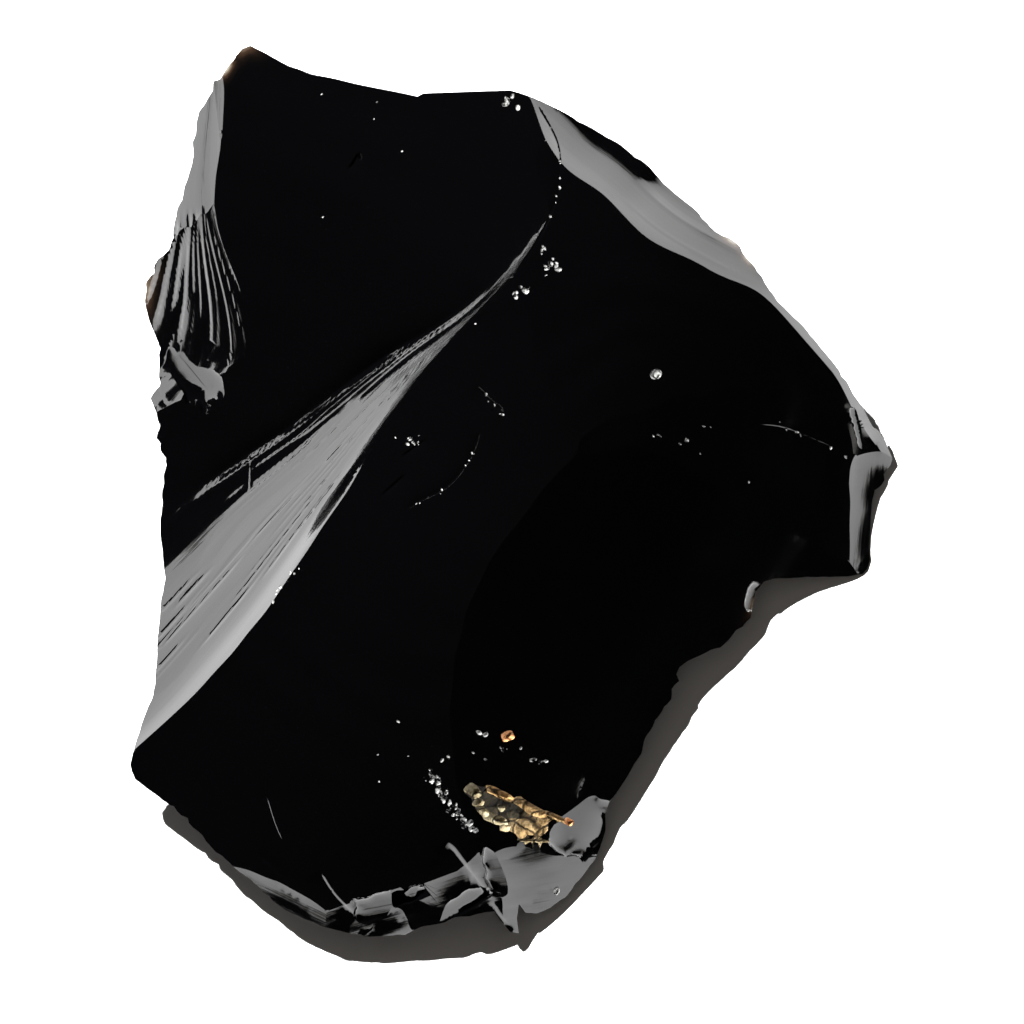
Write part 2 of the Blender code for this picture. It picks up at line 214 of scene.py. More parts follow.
def steps(u, beside, stretch, rows):
    """Small cliffs along the flow, each with a flatter tread beyond it.

    Rows are where a cliff lies, its ends, its width and its drop, in mm beside the line.
    """
    total = 0.0
    for place, first, last, width, drop in rows:
        ends = fade(u, first, first + 2.5) * fade(-u, -last, -last + 4)
        away = (beside - place) * stretch
        total = total + drop * ends * (0.5 + 0.5 * np.tanh(away / width)) * np.exp(
            -np.maximum(away, 0) / (9 * width))
    return total


def random_rows(seed, count, beside_range, u_range, length, width, depth):
    """Rows for lines() or steps(), spread at random over a stretch of a face."""
    rng = np.random.default_rng(seed)
    rows = []
    for _ in range(count):
        first = rng.uniform(*u_range)
        rows.append((rng.uniform(*beside_range), first, first + rng.uniform(*length),
                     rng.uniform(*width), rng.uniform(*depth)))
    return rows


# Grooves inside the bright band, and the cliffs that fray its upper edge
BAND_LINES = random_rows(3, 26, (2.0, 9.0), (-6, 44), (8, 20), (0.08, 0.16), (0.03, 0.08)) + [
    (2.2, 22, 37, 0.12, 0.1), (5.1, 10, 24, 0.12, 0.1), (6.6, 14, 21, 0.14, 0.12)]
BAND_STEPS = random_rows(7, 24, (8.6, 13.5), (18, 50), (7, 18), (0.12, 0.2), (0.12, 0.3)) + [
    (13.4, 30, 43, 0.14, 0.28), (12.6, 26, 50, 0.14, 0.3), (11.3, 34, 56, 0.13, 0.25)]


def band_relief(u, beside, stretch):
    """The great scar: a bright band with faint streaks, then cliffs, then faint ripples."""
    inside = fade(beside, -0.5, 0.3) * fade(-beside, -16, -12)
    edge = fade(beside, 7, 9.5)
    low = fade(-u, -34, -16)
    fine = streaks(u, beside, 18, 0.9, 11) * (0.012 + 0.03 * edge)
    broad = streaks(u, beside, 30, 3.1, 15) * (0.05 + 0.08 * edge + 0.07 * low)
    away = beside * stretch
    held = stretch * np.clip(beside, 0, 9.5)
    steeper = 0.14 * fade(u, 14, 40) - 0.1 * fade(-u, -16, -6) - 0.08
    lean = steeper * held + 0.15 * (1 - np.exp(-np.maximum(away, 0) / 0.5))
    ripple = 0.05 * np.sin(2 * np.pi * (u + 0.3 * away) / 6.5) * fade(away, 9, 16)
    grooves = stretch * (fine + broad + lines(u, beside, BAND_LINES))
    lean = lean * fade(-away, -28, -10)
    return lean + inside * grooves + steps(u, beside, stretch, BAND_STEPS) + ripple


# The fan of hackles on the left strip: places in the fan's own measure, see edge_relief
FAN_STEPS = [
    (0.2, 0, 15.5, 0.03, 0.05), (0.82, 1, 13.5, 0.03, 0.06), (1.3, -2, 14, 0.05, 0.14),
    (1.75, 5, 14, 0.04, 0.08), (2.2, -1, 14.5, 0.08, 0.22), (2.75, 3, 14, 0.06, 0.12),
    (3.2, 6, 14, 0.1, 0.24), (3.75, 1, 14, 0.2, 0.42), (4.4, 4, 14, 0.26, 0.55),
    (5.3, 3, 13, 0.32, 0.65), (6.3, 5, 12, 0.35, 0.65),
]
FAN_TOP = 14.5          # where the fan starts, along the strip's line
FAN_SPREAD = 0.1        # how fast it widens below that, per mm


def edge_relief(u, beside, stretch):
    """The lower left strip: a fan of hackles, too flat between them to catch the light."""
    fan = 1 + FAN_SPREAD * np.maximum(FAN_TOP - u, 0)
    place = beside / fan
    broad = 0.3 * stretch * streaks(u, place, 14, 0.8, 25) * fade(place, 1.5, 3.5)
    fine = 0.05 * stretch * streaks(u, place, 14, 0.35, 21)
    return fade(beside, 0, 0.8) * (fine + broad) + steps(u, place, stretch * fan, FAN_STEPS)


def top_edge_relief(u, beside, stretch):
    """The upper left strip: smooth, frayed where it runs out into the fan."""
    fingers = 1.1 * stretch * (noise(beside / 0.55, u / 9, 27) - 0.5) * fade(-u, -15, -12)
    return fingers + 0.016 * stretch * streaks(u, beside, 14, 0.85, 21)


def shoulder_relief(u, beside, stretch):
    """The band below the upper right rim: flatter toward the right, where it takes in the rim."""
    flatter = -0.21 * fade(u, 13, 24) * fade(-u, -34, -27) * np.clip(beside + 3.5, 0, 5)
    outward = 0.16 * np.clip(beside + 1.6, 0, 6) + 0.36 * np.clip(beside - 0.7, 0, 4)
    to_rim = outward * fade(u, 12.5, 16) * fade(-u, -30, -25)
    fine = 0.014 * streaks(u, beside, 10, 0.8, 31)
    return flatter + to_rim + fine + 0.05 * streaks(u, beside, 18, 2.4, 33)


def ripples(centre, spacing, depth, seed):
    """Relief of faint ripples round a blow, given in the face's flow."""
    def relief(u, beside, stretch):
        r = np.hypot(u - centre[0], beside - centre[1])
        warp = 2.5 * noise(u / 14, beside / 14, seed)
        wave = np.sin(2 * np.pi * (r / spacing + warp))
        return depth * (1 + wave) * fade(r, 3, 12)
    return relief


def flake_relief(seed, depth):
    """Relief of a small broken flake."""
    def relief(u, beside, stretch):
        return depth * (streaks(u, beside, 4, 1.3, seed) + noise(u / 2.5, beside / 2.5, seed + 3))
    return relief


class Ledge:
    """A thin cliff along a curve, on whatever face it crosses: it catches the light as a line.

    The ground to the right of the curve is lower by drop, and comes back up to its
    old level over a distance of a few widths. All sizes are in mm.
    """

    def __init__(self, points, width, drop):
        self.width, self.drop = width, drop
        corners = np.array(points, float)
        at = np.concatenate([[0], np.cumsum(np.hypot(*np.diff(corners, axis=0).T))])
        where = np.linspace(0, at[-1], max(2, round(at[-1] / LEDGE_STEP)) + 1)
        self.curve = np.column_stack([through(list(zip(at, side)), where) for side in corners.T])
        self.length = at[-1]

    def depth(self, x, y):
        place = np.column_stack([x, y])
        near = ((place > self.curve.min(axis=0) - LEDGE_REACH)
                & (place < self.curve.max(axis=0) + LEDGE_REACH)).all(axis=1)
        depth = np.zeros(len(x))
        if not near.any():
            return depth
        run = np.diff(self.curve, axis=0)
        t, gap = to_segments(place[near], self.curve[:-1], run)
        reach = np.sqrt(np.sum(gap * gap, axis=2))
        k = np.argmin(reach, axis=1)
        pick = np.arange(len(k))
        side = np.sign(gap[pick, k, 0] * run[k, 1] - gap[pick, k, 1] * run[k, 0])
        away = side * reach[pick, k]
        travel = (k + t[pick, k]) / len(run) * self.length
        ends = fade(np.minimum(travel, self.length - travel), 0, min(1.5, self.length / 3))
        drop = 0.5 + 0.5 * np.tanh(away / self.width)
        depth[near] = self.drop * ends * drop * np.exp(-np.maximum(away, 0) / (8 * self.width))
        return depth

    def points(self):
        """Places for mesh points that follow the cliff."""
        run = np.gradient(self.curve, axis=0)
        run /= np.hypot(*run.T)[:, None]
        side = np.column_stack([run[:, 1], -run[:, 0]])
        return np.vstack([self.curve + side * self.width * k for k in (-3, -1.1, 0, 1.1, 3, 7)])


# The two faces of the left strip run along the same line
LEFT_LINE = dict(start=(-25, 14.8), toward=(-29.6, 41.1),
                 bow=[(-10, 8), (-5, 3.8), (0, 0), (14.6, 2.3), (27, 0)],
                 spread=[(-5, 1.1), (0, 1), (10, 0.75), (22, 0.3), (28, 0.2)])
TOP_FACES = {
    "great_scar": Face(
        (-38.2, -27.0), (1.8, 23.5),
        along=[(0, 9), (13, 15.4), (26, 20.4), (38, 22.6), (48, 24.6), (58, 26.4), (64, 27),
               (72, 27.3), (78, 26.4)],
        across=[(-20, 28), (0, 0), (1.5, -2.9), (4, -6.4), (9.5, -13.1), (10.5, -13.8),
                (13, -14.9), (24, -17.4), (40, -20)],
        bow=[(0, 0), (8, -1), (19, -1.3), (34, -0.1), (46, 0.7), (58, 0.1), (64, 0), (70, 0)],
        spread=[(0, 1.2), (14, 1.15), (24, 1.0), (36, 0.62), (48, 0.32), (60, 0.1), (80, 0.1)],
        relief=band_relief),
    "crown": Face(
        (2, 15), (40, 3),
        along=[(-20, 27.6), (-8, 26.8), (0, 26), (10, 23.4), (20, 17.2), (30, 8.7), (38, 1.6),
               (44, -3.6)],
        across=[(-45, 20), (-30, 8), (-20, 2.4), (-12, 0.4), (0, 0), (8, 0), (12, -0.6),
                (17, -1.6), (30, -3)],
        relief=ripples((2, -12), 6.5, 0.05, 41)),
    "shoulder": Face(
        (2.3, 39.2), (38.3, 3.5),
        along=[(-5, 28.2), (0, 27.4), (7, 25), (12, 24.6), (17, 23.6), (22, 22), (27, 18.9),
               (35, 13.2), (40, 9.2), (46, 3.9), (54, -1)],
        across=[(-30, 33), (-3, 0), (-1, -2.7), (1.3, -5.2), (1.8, -5.55), (3.5, -6.4),
                (6, -7.6)],
        bow=[(0, -0.4), (6, -0.2), (11, 0.5), (18, 1.0), (24, 2.6), (30, 4.6), (40, 4.8),
             (50, 3.4)],
        relief=shoulder_relief),
    "dome": Face(
        (2, 8), (-22, -35),
        along=[(-40, 49), (-20, 31), (0, 24.8), (20, 22.8), (35, 17.6), (50, 9.3)],
        across=[(-50, 10), (-30, -1.8), (-18, -1.6), (0, 0), (10, -1.2), (20, -4.2), (40, -15)],
        relief=ripples((-6, 2), 7.5, 0.06, 43)),
    "fall": Face(
        (20, -15), (8, -34),
        along=[(-40, 28), (-20, 10.2), (-8, 5.6), (0, 4.2), (20, 3.4), (35, 4.6)],
        across=[(-34, 30.6), (-24, 20.4), (-10, 8.6), (0, 0), (4, -3.4), (10, -7.4)],
        relief=ripples((-4, -22), 6, 0.02, 45)),
    "flank": Face(
        (13.3, 5.5), (34.5, 3.3),
        along=[(-20, 39), (-8, 25.8), (0, 20.9), (7, 15.9), (13, 11.1), (16.5, 8.15), (20, 5.4),
               (24, 3.8), (28, 3.5)],
        across=[(-45, 6), (-25, -4.4), (-14, -3.2), (-8, -2.4), (0, 0), (3, 0.9), (8, 2.9),
                (14, 7.9)],
        relief=ripples((0, 4), 5, 0.02, 47)),
    "left_edge": Face(
        **LEFT_LINE,
        along=[(-8, 12.5), (0, 14.5), (14, 16.2), (27, 18.7)],
        across=[(-10, 11), (0, 0), (2, -1.8), (4, -3.5), (8, -6.9)],
        relief=edge_relief),
    "left_top": Face(
        **LEFT_LINE,
        along=[(-8, 34), (4, 21.8), (9, 18.9), (14.5, 16.3), (27, 18.7)],
        across=[(-10, 14), (0, 0), (3, -3.3), (7, -8.4), (12, -16)],
        relief=top_edge_relief),
    "right_edge": Face(
        (34.5, 3.3), (33.6, -6.7),
        along=[(-7, 11.2), (-3, 6.8), (0, 4.5), (2, 3.75), (4, 3.3), (6, 2.8), (8, 2.45),
               (12, 1.95)],
        across=[(-5, 7), (0, 0), (4, -3.76)],
        relief=flake_relief(51, 0.04)),
    "low_left": Face(
        (-29, -36.5), (-17.9, -41.9),
        along=[(0, 7.2), (12, 7.2), (20, 12)],
        across=[(-8, -7.85), (-4, -3.92), (0, 0), (5, 5.7)],
        relief=flake_relief(53, 0.08)),
    "low_middle": Face(
        (-17, -42), (-11.3, -40.5),
        along=[(0, 7), (6, 8.1), (14, 13)],
        across=[(-8, -7.8), (-4, -3.9), (0, 0), (5, 5.8)],
        relief=flake_relief(57, 0.08)),
    "low_right": Face(
        (-11, -40.2), (-5, -38.4),
        along=[(0, 8.2), (6, 9.6), (12, 9.4)],
        across=[(-8, -6.6), (-4, -3.6), (0, 0), (5, 5.6)],
        relief=flake_relief(61, 0.08)),
    "lobe": Face(
        (-1, -34.3), (9.4, -32.3),
        along=[(-4, 14.1), (0, 10.7), (5, 7.7), (10, 4.6)],
        across=[(-8, -6.75), (-4, -3.25), (0, 0), (3, 2.6)],
        relief=flake_relief(67, 0.05)),
}


class Bowl:
    """A shallow pit or flake scar, let into the faces round its centre.

    size is its two half widths, turn its long way in degrees, and finish what shows in it:
    glass, crushed (white, which also stands as painted glints) or crust. tilt and facing, in
    degrees, set how steep its floor is and which way that drops; without them it follows the
    ground. flat makes a level floor with a steep wall, and shade is the crust's colour, 0 to 1.
    """

    def __init__(self, centre, size, turn, depth, finish="glass", rough=0.0, seed=0,
                 tilt=None, facing=0.0, flat=False, shade=0.0):
        self.centre, self.size, self.depth = centre, size, depth
        self.finish, self.rough, self.seed, self.shade = finish, rough, seed, shade
        self.tilt, self.facing, self.flat = tilt, math.radians(facing), flat
        self.cos, self.sin = math.cos(math.radians(turn)), math.sin(math.radians(turn))
        self.plane = (0.0, 0.0, 0.0)

    def set_on(self, faces):
        """Lay the bowl on the surface that the faces make at its centre."""
        step = max(0.3, 0.5 * min(self.size))
        near = np.array(self.centre) + [(0, 0), (step, 0), (-step, 0), (0, step), (0, -step)]
        here, east, west, north, south = np.min(stacked(faces, *near.T), axis=0)
        if self.tilt is None:
            slope = ((east - west) / (2 * step), (north - south) / (2 * step))
        else:
            fall = math.tan(math.radians(self.tilt))
            slope = (-fall * math.cos(self.facing), -fall * math.sin(self.facing))
        self.plane = (here, *slope)

    def flow(self, x, y):
        dx, dy = x - self.centre[0], y - self.centre[1]
        return ((dx * self.cos + dy * self.sin) / self.size[0],
                (dy * self.cos - dx * self.sin) / self.size[1])

    def height(self, x, y):
        whole = np.full(len(x), np.inf)
        reach = BOWL_REACH * max(self.size)
        near = (np.abs(x - self.centre[0]) < reach) & (np.abs(y - self.centre[1]) < reach)
        if not near.any():
            return whole
        x, y = x[near], y[near]
        p, q = self.flow(x, y)
        r2 = p * p + q * q
        if self.flat or self.finish == "crust":
            ragged = 0.65 + 0.7 * noise(x / 0.9, y / 0.9, self.seed + 5)
            r2 = ragged * np.sqrt(p ** 4 + q ** 4)
        level = (self.plane[0] + self.plane[1] * (x - self.centre[0])
                 + self.plane[2] * (y - self.centre[1]))
        bend = 0.12 * r2 + 0.88 * r2 ** 4 if self.flat else r2
        height = level - self.depth * (1 - bend) + BOWL_WALL * np.maximum(r2 - 1, 0)
        if self.rough:
            grain = noise(x / 0.45, y / 0.45, self.seed) + noise(x / 0.9, y / 0.9, self.seed + 1)
            height = height - self.rough * (grain - 1)
        whole[near] = height
        return whole

    def points(self):
        """Places for mesh points that follow the bowl."""
        step = SMALL_BOWL_STEP if max(self.size) < SMALL_BOWL else BOWL_STEP
        rings = max(2, int(max(self.size) / step))
        out = [self.centre]
        for ring in range(1, rings + 2):
            r = ring / rings
            count = int(max(8, 2 * math.pi * r * math.sqrt(self.size[0] * self.size[1]) / step))
            for k in range(count):
                angle = 2 * math.pi * (k + 0.5 * (ring % 2)) / count
                p, q = r * math.cos(angle) * self.size[0], r * math.sin(angle) * self.size[1]
                out.append((self.centre[0] + p * self.cos - q * self.sin,
                            self.centre[1] + p * self.sin + q * self.cos))
        return np.array(out)


def specks(line, count, spread, size, seed):
    """Crushed specks, white, which also stand as painted glints, strewn along a line of places, as
    far as spread from it.
    """
    rng = np.random.default_rng(seed)
    corners = np.array(line, float)
    at = np.linspace(0, 1, len(corners))
    out = []
    for _ in range(count):
        t = rng.random()
        x, y = (float(np.interp(t, at, corners[:, k]) + rng.normal() * spread) for k in (0, 1))
        long = size * rng.uniform(0.6, 1.5)
        out.append(Bowl((x, y), (long, long * rng.uniform(0.4, 0.9)), rng.uniform(0, 180),
                        0.55 * long, "crushed"))
    return out


# Crushed pits, white, which also stand as painted glints: centre, size, turn and depth
PITS = [
    ((14.3, 11.8), (0.62, 0.5), 30, 0.3),
    ((2.1, -26.7), (0.4, 0.2), 10, 0.25),
    ((4.5, -40.0), (0.3, 0.46), -10, 0.25),
]
# Flake scars: centre, size, turn, depth, and the tilt and facing of the floor
FLAKES = [
    # At the foot of the left fan
    ((-31.9, 12.1), (3.5, 1.9), -50, 0.3, 45.3, 200),
    # Along the lower edge
    ((-13.4, -41.5), (2.3, 1.35), 12, 0.3, 44.9, -98),
    ((-8.0, -39.6), (3.3, 0.75), 17, 0.25, 46.3, -105),
    ((-5.9, -41.7), (4.0, 1.0), 30, 0.35, 48.0, -70),
    ((-1.4, -37.6), (1.2, 2.4), 8, 0.35, 44.9, -85),
    ((7.0, -33.1), (2.8, 3.2), -12, 0.3, 45.4, -34),
    # In the right corner and at the notch below it
    ((34.7, 6.2), (0.4, 2.3), 14, 0.22, 45.3, -8),
    ((24.0, -10.6), (0.55, 1.9), -18, 0.3, 44.9, -30),
]
FLAKE_SEED = 90
# The crust in its hollow, in plates and grains, and last the orange pit above it:
# centre, size, turn, depth, roughness, seed and shade
CRUST = [
    ((-1.9, -31.1), (3.0, 1.2), -38, 0.45, 0.3, 71, 0.0),
    ((0.2, -31.9), (1.5, 0.8), -30, 0.46, 0.3, 70, 0.02),
    ((-1.3, -30.1), (1.8, 0.46), -25, 0.66, 0.1, 73, 0.8),
    ((1.8, -31.6), (2.0, 0.52), -30, 0.64, 0.12, 74, 0.68),
    ((1.7, -33.2), (2.15, 1.1), -6, 0.58, 0.12, 75, 0.56),
    ((-0.7, -33.5), (0.6, 0.45), -20, 0.5, 0.2, 76, 0.4),
    ((-3.8, -29.9), (0.95, 0.6), -45, 0.66, 0.22, 77, 0.3),
    ((-3.3, -30.9), (0.7, 0.5), -20, 0.66, 0.22, 78, 0.32),
    ((-2.9, -31.8), (1.1, 0.45), -48, 0.68, 0.25, 79, 0.3),
    ((-1.5, -32.6), (1.2, 0.48), -18, 0.68, 0.25, 83, 0.3),
    ((-1.2, -31.5), (0.65, 0.4), -35, 0.6, 0.25, 84, 0.25),
    ((4.4, -32.5), (1.3, 0.24), -27, 0.5, 0.1, 86, 0.62),
    ((5.7, -33.0), (0.6, 0.42), -30, 0.55, 0.12, 80, 1.0),
    ((2.2, -34.85), (1.7, 0.13), -3, 0.3, 0.1, 81, 0.4),
    ((-0.45, -24.3), (0.68, 0.52), 20, 0.35, 0.08, 85, 1.0),
]
# Crushed specks, white, which also stand as painted glints: the line they lie along, their number,
# spread, size and seed
SPECKS = [
    ([(-0.8, 38.8), (0.8, 39.0)], 6, 0.35, 0.28, 201),
    ([(2.4, 24.4), (3.2, 22.6), (5.6, 22.4)], 9, 0.35, 0.24, 203),
    ([(4.7, 33.5), (4.8, 31.0), (4.2, 28.4), (2.8, 25.2)], 9, 0.06, 0.13, 204),
    ([(-4.6, 16.4), (0.6, 19.8), (1.6, 20.4), (3.4, 21.4)], 10, 0.25, 0.2, 205),
    ([(-20.6, -6.9), (-22.6, -8.9), (-24.6, -11.6)], 9, 0.25, 0.16, 207),
    ([(13.3, 5.5), (21, 7.1), (26.8, 7.0), (34.3, 3.3)], 14, 0.2, 0.13, 209),
    ([(-8.1, -27.6), (-7.6, -28.9), (-6.8, -30.3), (-5.6, -31.9), (-4.8, -33.1)], 60, 0.3, 0.19, 211),
    ([(-5.3, -32.6), (-4.4, -33.3), (-3.6, -33.5)], 18, 0.22, 0.24, 212),
    ([(-9.7, -26.4), (-6.8, -26.4), (-3.3, -25.8), (0.6, -25.6)], 9, 0.4, 0.17, 213),
    ([(-3.4, -24.0), (-2.6, -24.2)], 2, 0.1, 0.24, 214),
    ([(2.2, -26.6), (3.3, -27.0)], 3, 0.1, 0.2, 216),
    ([(-12.6, 6.5), (-10.0, 4.9), (-9.4, 5.6)], 14, 0.35, 0.17, 215),
    ([(-3.6, 11.0), (-2.0, 8.8), (-1.0, 7.4)], 8, 0.12, 0.15, 216),
    ([(-3.0, 5.8), (-4.4, 3.1), (-6.6, 0.4), (-9.6, -1.2)], 10, 0.08, 0.12, 218),
    ([(23.9, 1.5), (20.0, 2.8), (15.7, 6.3)], 4, 0.3, 0.18, 217),
    ([(-14.5, -27.9), (-8.8, -22.0)], 4, 1.2, 0.15, 219),
    ([(23.9, -10.9), (23.6, -12.4)], 3, 0.25, 0.2, 221),
]
for place in [(-18.9, 39.7), (-13.4, 38.9), (-13.7, 37.2), (-10.9, 34.0), (-18.8, 27.5)]:
    SPECKS.append(([place], 1, 0.05, 0.13, 223))

BOWLS = [Bowl(*row, "crushed") for row in PITS]
for number, (*form, tilt, facing) in enumerate(FLAKES):
    BOWLS.append(Bowl(*form, seed=FLAKE_SEED + number, tilt=tilt, facing=facing, flat=True))
for *form, rough, seed, shade in CRUST:
    BOWLS.append(Bowl(*form, "crust", rough, seed, shade=shade))
for row in SPECKS:
    BOWLS += specks(*row)

# Thin cliffs, each a curve, its width and its drop: the arc below the top edge, the cracks in
# the middle, short ones on the other faces, and the blade's edge
LEDGES = [Ledge(*row) for row in [
    ([(2.4, 38.8), (4.6, 34.5), (4.8, 31.0), (3.9, 27.6), (2.4, 24.4)], 0.05, 0.16),
    ([(-3.7, 11.0), (-2.2, 9.3), (-0.9, 8.1), (-1.0, 7.3)], 0.07, 0.34),
    ([(-3.0, 6.3), (-4.2, 3.3), (-6.4, 0.6), (-9.2, -0.9), (-10.7, -1.9)], 0.06, 0.3),
    ([(-13.2, -0.4), (-10.4, 2.1)], 0.06, 0.28),
    ([(-11.2, 3.5), (-8.4, 5.5)], 0.06, 0.28),
    ([(24.3, 6.9), (27.0, 6.6), (30.8, 5.2), (33.2, 4.2)], 0.05, 0.05),
    ([(7.6, -28.3), (6.5, -31.2)], 0.05, 0.12),
    ([(-24.7, -29.8), (-23.6, -33.4), (-22.7, -35.4)], 0.05, 0.09),
    ([(-26.2, 4.3), (-26.4, -0.2)], 0.05, 0.12),
    ([(-16.4, 32.1), (-15.8, 32.9), (-15.3, 33.7), (-14.9, 33.8)], 0.07, 0.45),
    ([(35.0, 9.3), (35.5, 6.8), (37.3, 3.8)], 0.06, 0.16),
    ([(-6.6, -34.6), (-4.9, -36.9), (-2.6, -40.0), (-1.2, -42.4), (0.4, -44.0)], 0.24, 0.5),
    ([(-19.4, -37.6), (-17.8, -40.2), (-15.4, -42.6)], 0.16, 0.3),
    ([(-22.0, -39.6), (-24.4, -37.2), (-26.0, -36.0)], 0.08, 0.2),
    ([(9.3, -31.6), (8.9, -34.0), (7.4, -36.2)], 0.07, 0.2),
]]


def stacked(faces, x, y):
    """Heights of all the faces, one row each."""
    return np.array([face.height(x, y) for face in faces])


def ledge_depth(x, y):
    """What all the ledges take off the faces."""
    return np.sum([ledge.depth(x, y) for ledge in LEDGES], axis=0)


def top_height(x, y):
    """How high the top stands over the table."""
    return np.maximum(np.min(stacked(ALL_TOP, x, y), axis=0) - ledge_depth(x, y), RIM_LOWEST)


def dense_rim():
    """The rim at an even spacing, with small nicks that only cut inward."""
    ring = np.array(RIM + RIM[:1], float)
    lengths = np.hypot(*np.diff(ring, axis=0).T)
    points = []
    for start, end, length in zip(ring[:-1], ring[1:], lengths):
        count = max(1, round(length / RIM_STEP))
        points += [start + (end - start) * k / count for k in range(count)]
    points = np.array(points)
    along = np.roll(points, -1, 0) - np.roll(points, 1, 0)
    inward = np.column_stack([along[:, 1], -along[:, 0]]) / np.hypot(*along.T)[:, None]
    travel = np.arange(len(points)) * RIM_STEP
    scallop = np.abs(noise(travel / 1.7, travel * 0, 81) - 0.5) * 2
    nick = RIM_NICKS * np.maximum(0, 1 - 1.6 * scallop) * noise(travel / 11, travel * 0, 83) * 1.5
    return points + inward * nick[:, None]


def inside(points, ring):
    """Which points lie within the ring."""
    x, y = points.T[:, :, None]
    x1, y1 = ring.T
    x2, y2 = np.roll(ring, -1, 0).T
    crosses = (y1 > y) != (y2 > y)
    with np.errstate(divide="ignore", invalid="ignore"):
        at = x1 + (y - y1) / (y2 - y1) * (x2 - x1)
    return (np.sum(crosses & (x < at), axis=1) % 2) == 1


def to_segments(points, start, run):
    """How far along each segment each point lies, 0 to 1, and the gap from there to the point."""
    offset = points[:, None, :] - start[None]
    t = np.clip(np.sum(offset * run[None], axis=2) / np.sum(run * run, axis=1), 0, 1)
    return t, offset - t[..., None] * run[None]


def to_ring(points, ring):
    """Distance of each point to the ring, worked out a part at a time to save memory."""
    best = []
    for first in range(0, len(points), PART_SIZE):
        _, gap = to_segments(points[first:first + PART_SIZE], ring, np.roll(ring, -1, 0) - ring)
        best.append(np.sqrt(np.min(np.sum(gap ** 2, axis=2), axis=1)))
    return np.concatenate(best)


def hex_points(step, ring):
    """A triangular grid over the inside of the ring."""
    rows = []
    for k, y in enumerate(np.arange(-HALF_LENGTH, HALF_LENGTH + 0.1, step * math.sqrt(3) / 2)):
        x = np.arange(-HALF_WIDTH, HALF_WIDTH + 0.1, step) + (step / 2 if k % 2 else 0)
        rows.append(np.column_stack([x, np.full(len(x), y)]))
    grid = np.vstack(rows)
    return grid[inside(grid, ring)]


def flow_points(face, u_range, u_step, beside_range, beside_step):
    """Points laid along a face's own flow, close across it and longer along it."""
    out = []
    for u in np.arange(*u_range, u_step):
        stretch = max(LEAST_STRETCH, float(through(face.spread, np.array([u]))[0]))
        beside = np.arange(*beside_range, beside_step / stretch)
        out.append(np.column_stack(face.ground(np.full(len(beside), u), beside)))
    return np.vstack(out)


def triangulate(ring, points):
    """Triangles over the ring's inside that use the points."""
    co = [Vector(p) for p in np.vstack([ring, points])]
    verts, _, faces, *_ = delaunay_2d_cdt(co, [], [list(range(len(ring)))], 1, 1e-6)
    return np.array([(v.x, v.y) for v in verts]), np.array(faces)


def split_by_face(verts, tris, faces):
    """Split the triangles where the lowest face changes. Returns places, triangles and labels.

    Edges on the border are not split, so the top and the underside keep the same rim.
    """
    label = np.argmin(stacked(faces, *verts.T), axis=0)
    edges = np.sort(np.vstack([tris[:, [0, 1]], tris[:, [1, 2]], tris[:, [2, 0]]]), axis=1)
    edges, uses = np.unique(edges, axis=0, return_counts=True)
    cut = edges[(label[edges[:, 0]] != label[edges[:, 1]]) & (uses == 2)]
    start, end = verts[cut[:, 0]], verts[cut[:, 1]]
    pick = np.arange(len(cut))
    low, high = np.zeros(len(cut)), np.ones(len(cut))
    for _ in range(SPLIT_HALVINGS):
        t = (low + high) / 2
        mid = stacked(faces, *(start + (end - start) * t[:, None]).T)
        before_crease = mid[label[cut[:, 0]], pick] <= mid[label[cut[:, 1]], pick]
        low, high = np.where(before_crease, t, low), np.where(before_crease, high, t)
    t = np.clip((low + high) / 2, SPLIT_MARGIN, 1 - SPLIT_MARGIN)
    place = start + (end - start) * t[:, None]
    middle = {tuple(pair): len(verts) + k for k, pair in enumerate(cut.tolist())}
    corner_labels = label[tris]
    same = (corner_labels == corner_labels[:, :1]).all(axis=1)
    centres, new_tris, new_labels = [], [], []
    for tri, names in zip(tris[~same].tolist(), corner_labels[~same].tolist()):
        mids = [middle.get((min(p, q), max(p, q))) for p, q in zip(tri, tri[1:] + tri[:1])]
        if not any(mids):
            new_tris.append(tri)
            new_labels.append(names[0])
        elif len(set(names)) == 2 and mids.count(None) == 1:
            odd = next(k for k in range(3) if names.count(names[k]) == 1)
            p, q = tri[odd - 2], tri[odd - 1]
            after, before = mids[odd], mids[odd - 1]
            new_tris += [(tri[odd], after, before), (after, p, q), (after, q, before)]
            new_labels += [names[odd], names[odd - 2], names[odd - 2]]
        else:
            centre = len(verts) + len(cut) + len(centres)
            centres.append(np.mean(verts[tri], axis=0))
            ring = [(point, name) for k in range(3)
                    for point, name in ((tri[k], names[k]), (mids[k], names[k - 2]))
                    if point is not None]
            for (here, name), (there, _) in zip(ring, ring[1:] + ring[:1]):
                new_tris.append((here, there, centre))
                new_labels.append(name)
    all_verts = np.vstack([verts, place] + centres)
    all_tris = np.vstack([tris[same], np.array(new_tris)])
    return all_verts, all_tris, np.concatenate([corner_labels[same][:, 0], new_labels])


def gradient(height, x, y):
    """How steeply a height rises across x and across y."""
    e = GRADIENT_STEP
    across_x, across_y = height(x + e, y) - height(x - e, y), height(x, y + e) - height(x, y - e)
    return np.array([across_x, across_y]) / (2 * e)


def from_base(x, y):
    """Bearing and distance of a place from the middle of the base."""
    dx, dy = x - BASE_CENTRE[0], y - BASE_CENTRE[1]
    return np.arctan2(dy, dx), np.hypot(dx, dy)


def base_reach(bearing):
    """How far the flat base reaches at a bearing."""
    reach = np.full(np.shape(bearing), np.inf)
    for side, distance, _ in UNDER_SIDES:
        facing = np.cos(bearing - math.radians(side))
        reach = np.minimum(reach, distance / np.maximum(facing, 0.01))
    return reach


